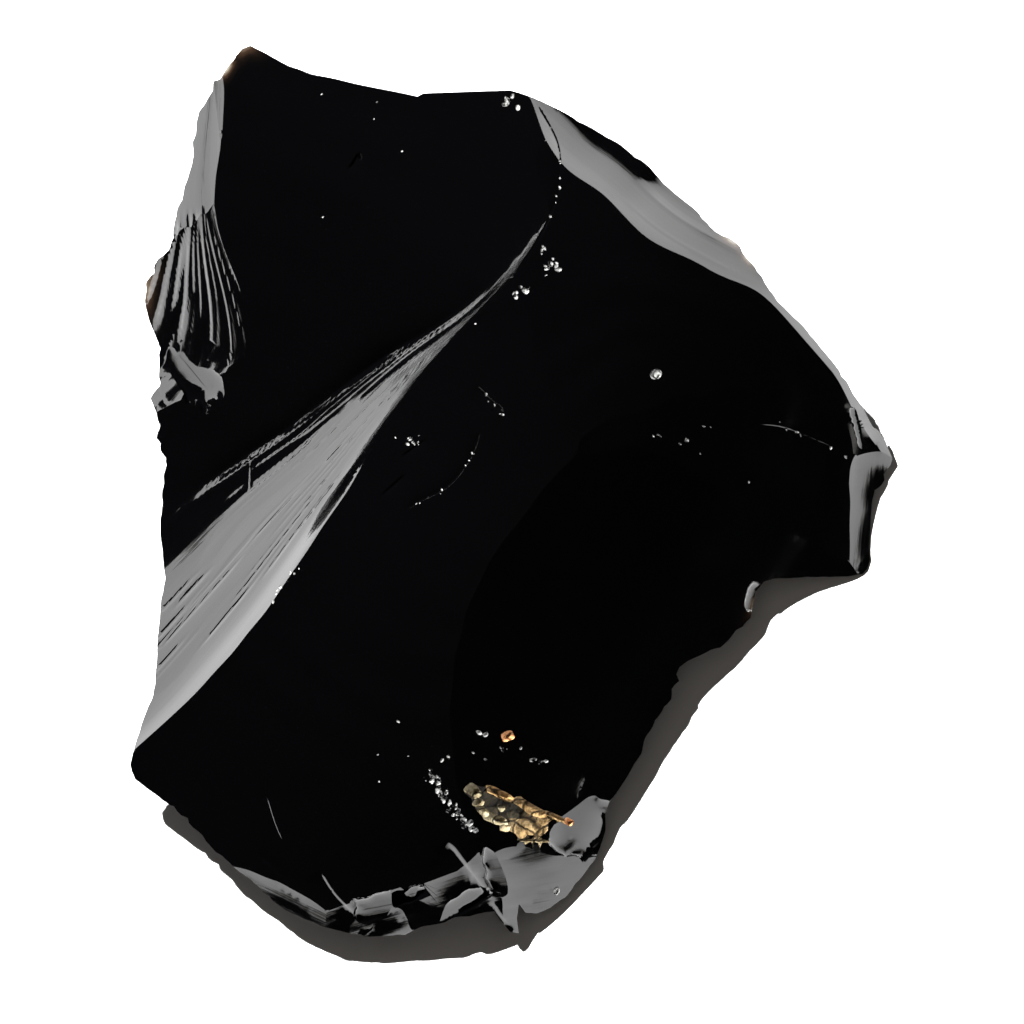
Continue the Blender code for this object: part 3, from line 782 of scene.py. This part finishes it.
class Plain:
    """A face of the underside, as the negative of its height so that the lowest still wins."""

    def __init__(self, height):
        self.upward = height

    def height(self, x, y):
        return -self.upward(x, y)

    def flow(self, x, y):
        return x, y


def under_faces(ring, top_rim):
    """The faces underneath: the flat base, the undercut below the rim and the scars."""
    bearing, reach = from_base(*ring.T)
    order = np.argsort(bearing)
    around = np.linspace(-math.pi, math.pi, 73)
    rim_reach = np.interp(around, bearing[order], reach[order], period=2 * math.pi)
    rim_height = np.interp(around, bearing[order], top_rim[order], period=2 * math.pi)
    soft = np.exp(-(np.arange(-3, 4) / 1.5) ** 2)
    soft /= soft.sum()

    def smooth(values):
        ringed = np.concatenate([values[-4:-1], values, values[1:4]])
        return np.convolve(ringed, soft, "valid")

    rim_reach, rim_height = smooth(rim_reach), smooth(rim_height)

    def undercut(x, y):
        angle, r = from_base(x, y)
        inner = base_reach(angle)
        outer = np.interp(angle, around, rim_reach)
        share = (r - inner) / (outer - inner)
        top = np.interp(angle, around, rim_height)
        bend = 1 - LIP_INSET
        rise = np.where(share < bend, share * LIP_HEIGHT / bend,
                        LIP_HEIGHT + (share - bend) * (1 - LIP_HEIGHT) / LIP_INSET)
        return top * rise - 0.25 * noise(x / 3.1, y / 3.1, 91)

    def edge(x, y):
        away = to_ring(np.column_stack([x, y]), ring)
        return np.min(stacked(ALL_TOP, x, y), axis=0) - RIM_THICKNESS - RIM_WEDGE * away

    faces = [Plain(lambda x, y: np.zeros_like(x)), Plain(undercut), Plain(edge)]
    for side, _, hollow in UNDER_SIDES:
        faces.append(under_scar(math.radians(side), hollow, ring, top_rim))
    return faces


def under_scar(angle, hollow, ring, top_rim):
    """A hollow scar that climbs from the base to just under the rim."""
    forward = np.array([math.cos(angle), math.sin(angle)])
    bearing = np.arctan2(ring[:, 1], ring[:, 0])
    turn = np.abs(np.arctan2(np.sin(bearing - angle), np.cos(bearing - angle)))
    nearest = int(np.argmin(turn))
    outer = math.hypot(*ring[nearest])
    base_angle, _ = from_base(*ring[nearest])
    reach = float(base_reach(base_angle))
    foot = math.hypot(BASE_CENTRE[0] + reach * math.cos(base_angle),
                      BASE_CENTRE[1] + reach * math.sin(base_angle))
    top = top_rim[nearest]
    along = [(foot - 8, -9), (foot - 0.5, 0),
             ((outer + foot) / 2, top * (0.5 + hollow)), (outer, top)]
    seed = 100 + int(math.degrees(angle) % 360)

    def sweep(x, y):
        u = x * forward[0] + y * forward[1]
        v = y * forward[0] - x * forward[1]
        return u, v, through(along, u) - UNDER_SIDE_FALL * v * v

    too_high = float(np.max(sweep(ring[:, 0], ring[:, 1])[2] - top_rim)) + UNDER_CLEARANCE
    drop = max(too_high, 0)

    def scar(x, y):
        u, v, height = sweep(x, y)
        r = np.hypot(u - outer, v)
        wave = 0.08 * np.sin(2 * np.pi * (r / 4.2 + 0.7 * noise(u / 9, v / 9, seed)))
        hackle = 0.35 * (streaks(u, v, 12, 1.6, seed + 5) - 0.5)
        return height - drop + wave + hackle

    return Plain(scar)


# Faces whose relief needs close mesh points: along the flow from, to and step, then beside it
FINE_ZONES = {
    "great_scar": ((-10, 62, 0.7), (0.0, 15.5, 0.12)),
    "left_edge": ((-10, 20, 0.6), (0.0, 15.0, 0.1)),
    "left_top": ((4, 28, 0.6), (0.0, 12.0, 0.15)),
    "shoulder": ((-1, 46, 0.6), (-4.5, 3.5, 0.22)),
}


def top_points(ring):
    """Where the top's mesh points lie."""
    names = list(TOP_FACES)
    plain = hex_points(TOP_STEP, ring)
    label = np.argmin(stacked(ALL_TOP, *plain.T), axis=0)
    parts = []
    for name, (along, across) in FINE_ZONES.items():
        face = TOP_FACES[name]
        u, beside = face.flow(*plain.T)
        covered = ((label == names.index(name)) & (beside > across[0]) & (beside < across[1])
                   & (u > along[0]) & (u < along[1]))
        plain, label = plain[~covered], label[~covered]
        laid = flow_points(face, along[:2], along[2], across[:2], across[2])
        laid = laid[inside(laid, ring)]
        own = np.argmin(stacked(ALL_TOP, *laid.T), axis=0)
        parts.append(laid[own == names.index(name)])
    points = np.vstack([plain] + parts)
    for feature in LEDGES + BOWLS:
        place = feature.points()
        if isinstance(feature, Ledge):
            low, high = place.min(axis=0) - LEDGE_CLEAR, place.max(axis=0) + LEDGE_CLEAR
            near = np.flatnonzero(((points > low) & (points < high)).all(axis=1))
            gap = np.hypot(*(points[near, None, :] - place[None]).transpose(2, 0, 1)).min(axis=1)
            points = np.delete(points, near[gap <= LEDGE_CLEAR], axis=0)
        else:
            away = np.hypot(*(points - np.array(feature.centre)).T)
            points = points[away > max(feature.size)]
        points = np.vstack([points, place[inside(place, ring)]])
    return points[to_ring(points, ring) > RIM_CLEAR]


# One side of the stone: its mesh points seen from above and their heights, its triangles with
# the face that each belongs to, and a normal and a place in the flow for each of their corners
Side = namedtuple("Side", "verts z tris labels normals flow")


def side_mesh(ring, points, faces, up):
    """The mesh of the top or the underside."""
    verts, tris = triangulate(ring, points)
    verts, tris, labels = split_by_face(verts, tris, faces)
    if up:
        z = top_height(*verts.T)
    else:
        # the underside never comes up through the top beside the rim
        z = np.maximum(np.min(stacked(faces, *verts.T), axis=0),
                       RIM_THICKNESS - top_height(*verts.T))
    x, y = verts[tris.ravel()].T
    own = np.repeat(labels, 3)
    slope, flow = np.zeros((2, len(x))), np.zeros((len(x), 2))
    for name in np.unique(own):
        k = own == name
        slope[:, k] = gradient(faces[name].height, x[k], y[k])
        flow[k] = np.column_stack(faces[name].flow(x[k], y[k]))
    if up:
        slope -= gradient(ledge_depth, x, y)
    normals = np.column_stack([*-slope, np.ones(len(x))])
    normals /= np.linalg.norm(normals, axis=1)[:, None]
    if up:
        return Side(verts, z, tris, labels, normals, flow)
    normals[:, 2] *= -1
    normals = normals.reshape(-1, 3, 3)[:, ::-1].reshape(-1, 3)
    flow = flow.reshape(-1, 3, 2)[:, ::-1].reshape(-1, 2)
    return Side(verts, -z, tris[:, ::-1], labels, normals, flow)


def build_stone():
    """The whole stone as one closed mesh: its rim, places, triangles and two sides."""
    ring = dense_rim()
    top = side_mesh(ring, top_points(ring), ALL_TOP, True)
    grid = hex_points(UNDER_STEP, ring)
    grid = grid[to_ring(grid, ring) > UNDER_CLEAR]
    under = side_mesh(ring, grid, under_faces(ring, top.z[:len(ring)]), False)
    offset = len(top.verts)
    wall = []
    for k in range(len(ring)):
        n = (k + 1) % len(ring)
        wall += [(k, n, n + offset), (k, n + offset, k + offset)]
    co = np.vstack([np.column_stack([side.verts, side.z]) for side in (top, under)])
    return ring, co, np.vstack([top.tris, under.tris + offset, np.array(wall)]), top, under


# Painted glow: where the thin rim would let light through, its brown to pale glow is painted into the
# base colour: place, reach, strength and depth of the glow, mm
PAINTED_GLOW_SPOTS = [
    (-26.6, 44.3, 1.4, 0.8, 1.2),
    (-28.4, 42.2, 1.2, 1.2, 0.8),
    (-36.6, 20.5, 2.4, 0.9, 1.3),
    (22.0, 25.4, 1.5, 1.2, 1.1),
    (23.8, 23.6, 1.3, 1.2, 1.1),
    (23.8, -11.0, 1.6, 0.9, 0.9),
]


def painted_glow_at(ring, co):
    """Share of painted glow of light through the rim: 1 at the sharp rim where light comes through, 0
    in the thick of the stone.
    """
    painted_glow = np.zeros(len(co))
    away = to_ring(co[:, :2], ring)
    wedge = RIM_THICKNESS + RIM_WEDGE * away
    for x, y, reach, strength, depth in PAINTED_GLOW_SPOTS:
        near = np.exp(-((co[:, 0] - x) ** 2 + (co[:, 1] - y) ** 2) / (reach * reach))
        painted_glow = np.maximum(painted_glow, strength * near * np.exp(-(wedge / depth) ** 2))
    return painted_glow


def make_object(co, tris, top, under, ring):
    """The Blender object, with each face's own normals, flow and finish."""
    mesh = bpy.data.meshes.new("obsidian_stone")
    count = len(tris)
    mesh.from_pydata((co * MM).tolist(), [], tris.tolist())
    mesh.polygons.foreach_set("use_smooth", np.ones(count, bool))
    finish = np.zeros(count, int)
    # crushed spots, whose white is also a painted glint, and the crust's colour share
    crushed, shade = np.zeros(count), np.zeros(count)
    first = len(TOP_FACES)
    for k, bowl in enumerate(BOWLS):
        here = np.flatnonzero(top.labels == first + k)
        finish[here], crushed[here] = bowl.finish == "crust", bowl.finish == "crushed"
        shade[here] = bowl.shade
    mesh.polygons.foreach_set("material_index", finish)
    mesh.update(calc_edges=True)
    wall = tris[len(top.tris) + len(under.tris):]
    a, b, c = (co[wall[:, k]] for k in range(3))
    flat = np.cross(b - a, c - a)
    flat /= np.maximum(np.linalg.norm(flat, axis=1), 1e-9)[:, None]
    normals = np.vstack([top.normals, under.normals, np.repeat(flat, 3, axis=0)])
    mesh.normals_split_custom_set(normals.tolist())
    flow = np.vstack([top.flow, under.flow, np.zeros((3 * len(wall), 2))]) / FLOW_SCALE
    layer = mesh.uv_layers.new(name="flow")
    layer.data.foreach_set("uv", flow.ravel())
    for name, values in (("crush", crushed), ("shade", shade)):
        corner = mesh.attributes.new(name, "FLOAT", "CORNER")
        corner.data.foreach_set("value", np.repeat(values, 3))
    # painted glow of light through the thin rim, as a share for the glass's base colour
    painted_glow = mesh.attributes.new("painted_glow", "FLOAT", "POINT")
    painted_glow.data.foreach_set("value", painted_glow_at(ring, co))
    mesh.validate(clean_customdata=False)
    return placed("obsidian_stone", mesh, (0, 0, 0))


# Blender's numbers for the two inputs and the output of a Mix node, by what it mixes
MIX_SOCKETS = {"FLOAT": (2, 3, 0), "VECTOR": (4, 5, 1), "RGBA": (6, 7, 2)}


class Nodes:
    """Adds shader nodes to a tree. A value can be a number, a colour or another node's output."""

    def __init__(self, tree):
        self.tree = tree

    def put(self, socket, value):
        if isinstance(value, bpy.types.NodeSocket):
            self.tree.links.new(value, socket)
        else:
            socket.default_value = value

    def add(self, kind, output, **values):
        """A node's output, once its sockets and settings have their values."""
        node = self.tree.nodes.new("ShaderNode" + kind)
        for key, value in values.items():
            if key in node.inputs:
                self.put(node.inputs[key], value)
            else:
                setattr(node, key, value)
        return node.outputs[output]

    def mix(self, kind, share, first, second, blend="MIX"):
        node = self.tree.nodes.new("ShaderNodeMix")
        node.data_type, node.blend_type = kind, blend
        a, b, output = MIX_SOCKETS[kind]
        for socket, value in (("Factor", share), (a, first), (b, second)):
            self.put(node.inputs[socket], value)
        return node.outputs[output]

    def span(self, value, start, end, least=0.0, most=1.0):
        """The value, with start to end laid on least to most."""
        limits = {"From Min": start, "From Max": end, "To Min": least, "To Max": most}
        return self.add("MapRange", "Result", Value=value, **limits)

    def ramp(self, value, stops, easing="LINEAR"):
        node = self.tree.nodes.new("ShaderNodeValToRGB")
        node.color_ramp.interpolation = easing
        elements = node.color_ramp.elements
        while len(elements) < len(stops):
            elements.new(0.5)
        for element, (place, colour) in zip(elements, stops):
            element.position, element.color = place, colour
        self.put(node.inputs["Fac"], value)
        return node.outputs["Color"]

    def bumps(self, *layers):
        """Bumps on top of one another, each its height, strength and distance."""
        under = {}
        for height, strength, distance in layers:
            under["Normal"] = self.add("Bump", "Normal", Height=height, Strength=strength,
                                       Distance=distance, **under)
        return under["Normal"]


def material(name):
    """A new material, its nodes and the inputs of its shader."""
    made = bpy.data.materials.new(name)
    made.use_nodes = True
    return made, Nodes(made.node_tree), made.node_tree.nodes["Principled BSDF"].inputs


GLASS_BLACK = (0.0005, 0.0005, 0.0006, 1)
# the white of crushed glass, which also stands as painted glints of light off tiny pits
CRUSHED_WHITE_GLINT = (0.3, 0.3, 0.29, 1)
CRUSHED_ROUGHNESS = 0.5


def glass():
    """Black volcanic glass, with a painted glow, brown to pale, where light would come through the
    thin rim, and white crushed spots that are also painted glints.
    """
    made, n, surface = material("obsidian_glass")
    place = n.add("TexCoord", "Object")
    flow = n.add("UVMap", "UV", uv_map="flow")
    painted_glow = n.add("Attribute", "Fac", attribute_name="painted_glow")
    crush = n.add("Attribute", "Fac", attribute_name="crush")
    # painted glow: the thin rim's brown to pale grey stands for light coming through, put in the base
    # colour
    glass_and_glow = n.ramp(painted_glow, [
        (0.0, GLASS_BLACK), (0.25, (0.003, 0.002, 0.0015, 1)), (0.55, (0.014, 0.008, 0.005, 1)),
        (0.8, (0.05, 0.038, 0.027, 1)), (1.0, (0.13, 0.118, 0.1, 1))])
    flecks = n.add("TexNoise", "Fac", Vector=place, Scale=1800.0, Detail=3.0)
    # crushed spots: their white in the base colour is also a painted glint
    powder_glint = n.mix("FLOAT", crush, 0.0, n.span(flecks, 0.42, 0.6))
    smear = n.add("TexNoise", "Fac", Vector=place, Scale=90.0, Detail=4.0)
    gloss = n.span(smear, 0.3, 0.8, 0.03, 0.09)
    along = n.add("Mapping", "Vector", Vector=flow, Scale=(0.12, 2.6, 1.0))
    fibres = n.add("TexNoise", "Fac", Vector=along, Scale=100.0, Detail=3.0)
    along = n.add("Mapping", "Vector", Vector=flow, Scale=(0.3, 7.0, 1.0))
    hair = n.add("TexNoise", "Fac", Vector=along, Scale=100.0, Detail=2.0)
    n.put(surface["IOR"], 1.5)
    n.put(surface["Base Color"], n.mix("RGBA", powder_glint, glass_and_glow, CRUSHED_WHITE_GLINT))
    n.put(surface["Roughness"], n.mix("FLOAT", powder_glint, gloss, CRUSHED_ROUGHNESS))
    n.put(surface["Normal"], n.bumps((fibres, 0.2, 0.00004), (hair, 0.15, 0.000015)))
    return made


def crust():
    """The tan crust in its hollow: granular and cracked, from cream to orange by plate."""
    made, n, surface = material("tan_crust")
    place = n.add("TexCoord", "Object")
    plate = n.ramp(n.add("Attribute", "Fac", attribute_name="shade"), [
        (0.0, (0.03, 0.026, 0.018, 1)), (0.3, (0.36, 0.32, 0.21, 1)),
        (0.55, (0.33, 0.235, 0.12, 1)), (0.8, (0.6, 0.39, 0.17, 1)), (1.0, (0.85, 0.42, 0.19, 1))])
    blots = n.add("TexNoise", "Fac", Vector=place, Scale=650.0, Detail=5.0, Roughness=0.7)
    mottle = n.ramp(blots, [
        (0.34, (0.12, 0.1, 0.09, 1)), (0.46, (0.6, 0.56, 0.5, 1)), (0.6, (1, 1, 1, 1)),
        (0.74, (1.5, 1.45, 1.4, 1))])
    warp = n.add("TexNoise", "Color", Vector=place, Scale=500.0, Detail=3.0)
    bent = n.mix("VECTOR", 0.0012, place, warp)
    turned = n.add("Mapping", "Vector", Vector=bent, Rotation=(0, 0, 0.35), Scale=(0.45, 1, 1))
    cracks = n.add("TexVoronoi", "Distance", feature="DISTANCE_TO_EDGE", Vector=turned,
                   Scale=430.0, Randomness=1.0)
    dark = n.span(cracks, 0.01, 0.07, 0.12, 1.0)
    grain = n.add("TexNoise", "Fac", Vector=place, Scale=2600.0, Detail=3.0)
    colour = n.mix("RGBA", 1.0, plate, mottle, "MULTIPLY")
    n.put(surface["Base Color"], n.mix("RGBA", 1.0, colour, dark, "MULTIPLY"))
    n.put(surface["Specular IOR Level"], 0.25)
    n.put(surface["Roughness"], 0.85)
    n.put(surface["Normal"], n.bumps((grain, 0.8, 0.00015), (dark, 0.9, 0.0002)))
    return made


FLOOR_ALBEDO = 0.8
FLOOR_REACH = 3.0
LIGHT_TOWARD = (-0.574, 0.82)       # the light's side, seen from above
LIGHT_ELEVATION = 52.0
LIGHT_DISTANCE = 1.2
LIGHT_POWER = 350.0
LIGHT_RADIUS = 0.012
FILL_SIZE = 1.4
FILL_HEIGHT = 1.1
FILL_POWER = 1.3
FILL_COLOUR = (1.0, 0.92, 0.84)
CAMERA_LENS = 600.0
CAMERA_SENSOR = 36.0
VIEW_WIDTH = 0.1024                 # of floor, from side to side of the picture
VIEW_LEVEL = 0.012                  # the height at which that width holds
VIEW_CENTRE = (0.0, -0.0019)


def floor():
    """The white surface that the stone lies on."""
    made, n, surface = material("white_floor")
    n.put(surface["Base Color"], (FLOOR_ALBEDO,) * 3 + (1,))
    n.put(surface["Roughness"], 0.9)
    n.put(surface["Specular IOR Level"], 0.0)
    mesh = bpy.data.meshes.new("floor")
    corners = [(x * FLOOR_REACH, y * FLOOR_REACH, 0) for x, y in ((-1, -1), (1, -1), (1, 1), (-1, 1))]
    mesh.from_pydata(corners, [], [(0, 1, 2, 3)])
    mesh.materials.append(made)
    placed("floor", mesh, (0, 0, 0))


def placed(name, data, place):
    """A new object in the scene."""
    thing = bpy.data.objects.new(name, data)
    thing.location = place
    bpy.context.scene.collection.objects.link(thing)
    return thing


def lights():
    """The sun-like key light, which casts the shadow, and a weak fill above."""
    key_data = bpy.data.lights.new("key", "POINT")
    key_data.energy = LIGHT_POWER
    key_data.shadow_soft_size = LIGHT_RADIUS
    side = Vector((*LIGHT_TOWARD, 0)).normalized()
    lift = math.radians(LIGHT_ELEVATION)
    up = Vector((0, 0, 1))
    key = placed("key", key_data, LIGHT_DISTANCE * (side * math.cos(lift) + up * math.sin(lift)))
    key.visible_glossy = False
    fill_data = bpy.data.lights.new("fill", "AREA")
    fill_data.size, fill_data.energy = FILL_SIZE, FILL_POWER
    fill_data.color = FILL_COLOUR
    fill = placed("fill", fill_data, (0, 0, FILL_HEIGHT))
    fill.visible_glossy = fill.visible_camera = False


HORIZON_COLOUR = (1.4, 1.36, 1.3, 1)
HORIZON_FULL = 0.012                # sine of the height up to which the room is lit
HORIZON_END = 0.03                  # and of that from which it is black
BACKDROP_COLOUR = (0.8, 0.8, 0.8, 1)


def surroundings():
    """A pale backdrop, black in reflections as a dark room is, but for a dim horizon."""
    world = bpy.data.worlds.new("room")
    bpy.context.scene.world = world
    world.use_nodes = True
    world.node_tree.nodes.clear()
    n = Nodes(world.node_tree)
    height = n.add("SeparateXYZ", "Z", Vector=n.add("TexCoord", "Generated"))
    room = n.ramp(height, [(HORIZON_FULL, HORIZON_COLOUR), (HORIZON_END, (0, 0, 0, 1))], "EASE")
    mix = n.tree.nodes.new("ShaderNodeMixShader")
    n.put(mix.inputs[0], n.add("LightPath", "Is Camera Ray"))
    n.put(mix.inputs[1], n.add("Background", "Background", Color=room))
    n.put(mix.inputs[2], n.add("Background", "Background", Color=BACKDROP_COLOUR))
    n.put(n.tree.nodes.new("ShaderNodeOutputWorld").inputs["Surface"], mix.outputs[0])


def camera():
    """The camera, high above the stone and looking straight down."""
    data = bpy.data.cameras.new("camera")
    data.lens, data.sensor_width = CAMERA_LENS, CAMERA_SENSOR
    data.clip_end = 20.0
    distance = VIEW_WIDTH * CAMERA_LENS / CAMERA_SENSOR
    bpy.context.scene.camera = placed("camera", data, (*VIEW_CENTRE, VIEW_LEVEL + distance))


for bowl in BOWLS:
    bowl.set_on(TOP_FACES.values())
ALL_TOP = list(TOP_FACES.values()) + BOWLS
ring, co, tris, top, under = build_stone()
stone = make_object(co, tris, top, under, ring)
stone.data.materials.append(glass())
stone.data.materials.append(crust())
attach(stone, "root")
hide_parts("obsidian_chunk")
floor()
lights()
surroundings()
camera()
bpy.context.scene.view_settings.view_transform = "Standard"
